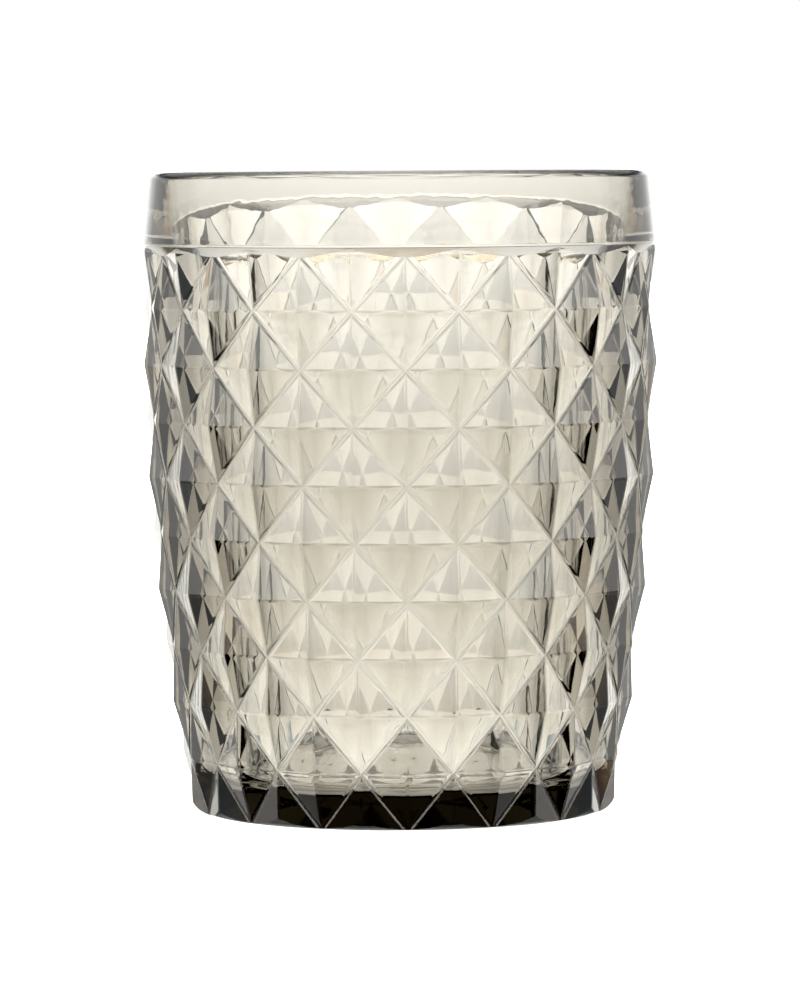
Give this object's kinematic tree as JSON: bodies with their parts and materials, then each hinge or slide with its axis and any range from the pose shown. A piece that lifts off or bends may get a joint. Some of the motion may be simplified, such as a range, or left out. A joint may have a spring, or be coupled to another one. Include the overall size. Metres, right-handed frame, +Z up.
{
  "type": "whiskey tumbler",
  "caption": "Pressed-glass whiskey tumbler with a smooth rim band and staggered diamond points down to a thick flat base.",
  "frame": {"origin": "centre of the flat underside", "axes": "+Z up along the glass's axis towards the rim; -Y towards the viewer, through a column of points"},
  "size_m": [0.0828, 0.083, 0.103],
  "materials": {
    "smoke_glass": "fire-polished gloss"
  },
  "bodies": {
    "root": {"glass_body": "smoke_glass"}
  },
  "joints": []
}
